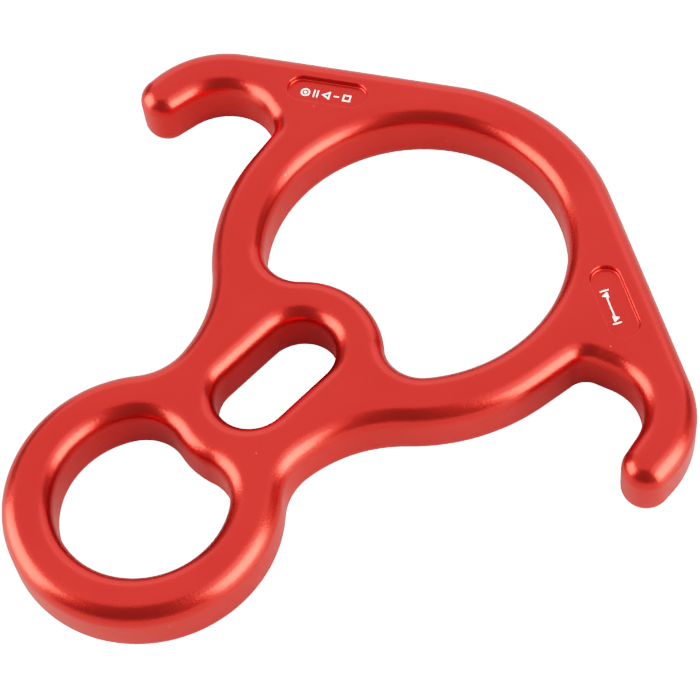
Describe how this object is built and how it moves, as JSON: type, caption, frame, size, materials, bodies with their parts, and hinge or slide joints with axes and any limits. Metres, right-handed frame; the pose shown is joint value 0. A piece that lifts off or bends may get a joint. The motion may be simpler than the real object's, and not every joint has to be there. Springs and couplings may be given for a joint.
{
  "type": "rope descender",
  "caption": "One-piece figure-eight rescue descender: a big rope ring with hooked ears, a small carabiner ring and a slotted bridge, in red anodised aluminium.",
  "frame": {"origin": "under the middle of the bounding box, on the plane that the descender lies on", "axes": "+Z out of the face with the two marking recesses, +Y from the small ring to the big ring, X across the ears"},
  "size_m": [0.1524, 0.1532, 0.0152],
  "materials": {
    "red_anodised_aluminium": "satin red anodising over a fine bead-blasted surface"
  },
  "bodies": {
    "root": {"descender_body": "red_anodised_aluminium"}
  },
  "joints": []
}
